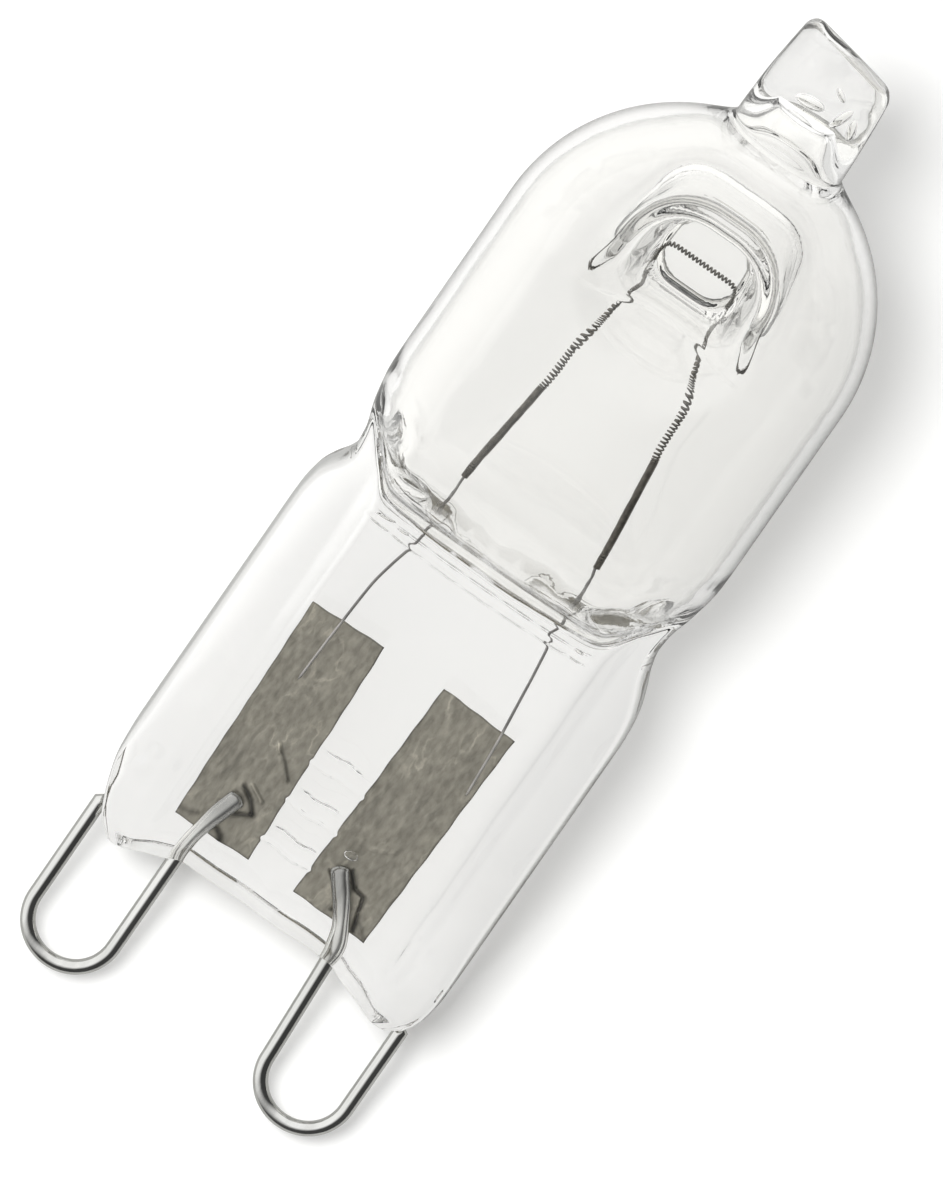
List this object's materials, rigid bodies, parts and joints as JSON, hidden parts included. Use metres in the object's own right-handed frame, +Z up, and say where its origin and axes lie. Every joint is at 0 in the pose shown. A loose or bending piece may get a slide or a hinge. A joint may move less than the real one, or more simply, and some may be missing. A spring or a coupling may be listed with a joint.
{
  "type": "halogen capsule bulb",
  "caption": "Clear quartz capsule bulb with a domed top, sealed stub, dimple-held coiled filament and a flat press seal that carries wire loop contacts.",
  "frame": {"origin": "centre of the bounding box, on the surface the lamp lies on", "axes": "+X along the lamp towards its sealed stub, +Y across the press seal, +Z up. The lamp lies tilted by 13 degrees, its stub end raised"},
  "size_m": [0.0386, 0.0132, 0.0133],
  "materials": {
    "quartz": "polished",
    "tungsten": "satin",
    "lead_wire": "satin",
    "foil": "matte",
    "contact_wire": "polished"
  },
  "bodies": {
    "root": {"glass_envelope": "quartz", "filament": "tungsten", "inner_lead_left": "lead_wire", "inner_lead_right": "lead_wire", "seal_foil_left": "foil", "seal_foil_right": "foil", "contact_loop_left": "contact_wire", "contact_loop_right": "contact_wire"}
  },
  "joints": []
}
